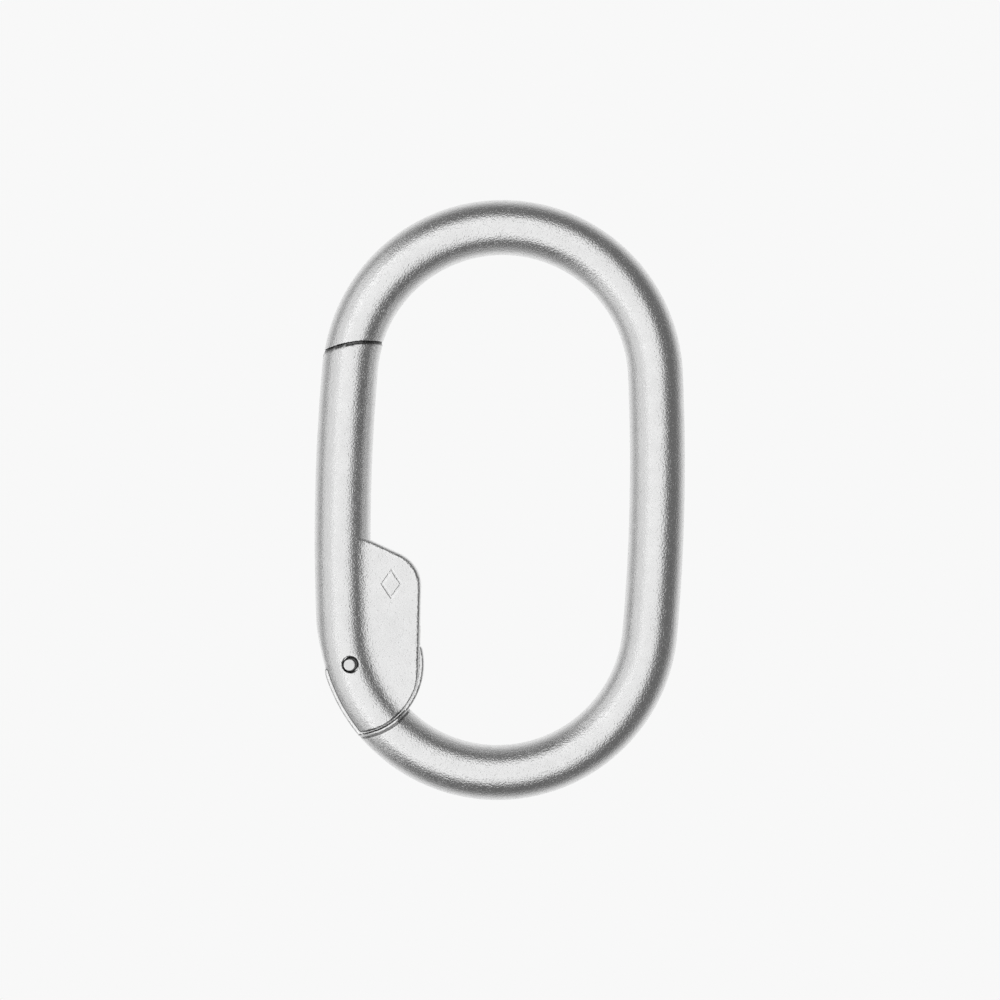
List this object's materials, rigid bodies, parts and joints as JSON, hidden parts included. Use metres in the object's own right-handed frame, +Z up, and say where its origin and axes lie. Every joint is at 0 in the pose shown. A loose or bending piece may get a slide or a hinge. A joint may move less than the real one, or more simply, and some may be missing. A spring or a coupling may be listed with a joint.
{
  "type": "carabiner keyring",
  "caption": "Oval round-bar carabiner keyring with an inward-opening sprung gate and a flat thumb pad.",
  "frame": {"origin": "where the ring hangs: the inside of the top bow, in the middle of the bar's thickness", "axes": "+Z up the ring's long axis, +Y through its thickness towards the back, +X from the gate's leg towards the plain leg"},
  "size_m": [0.0369, 0.0056, 0.06],
  "materials": {
    "satin_metal": "fine bead-blasted satin silver",
    "pin_metal": "smooth turned steel",
    "spring_metal": "drawn spring wire"
  },
  "bodies": {
    "frame": {"frame": "satin_metal"},
    "gate": {"gate": "satin_metal", "pivot_pin": "pin_metal", "gate_spring": "spring_metal"}
  },
  "joints": [
    {"name": "gate_hinge", "type": "hinge", "parent": "frame", "child": "gate", "pos_m": [-0.01454, 0, -0.0412], "axis": [0, 1, 0], "range_deg": [0, 30], "stiffness_Nm_per_rad": 0.06, "springref_deg": -22.92, "deforming": ["gate_spring"]}
  ]
}
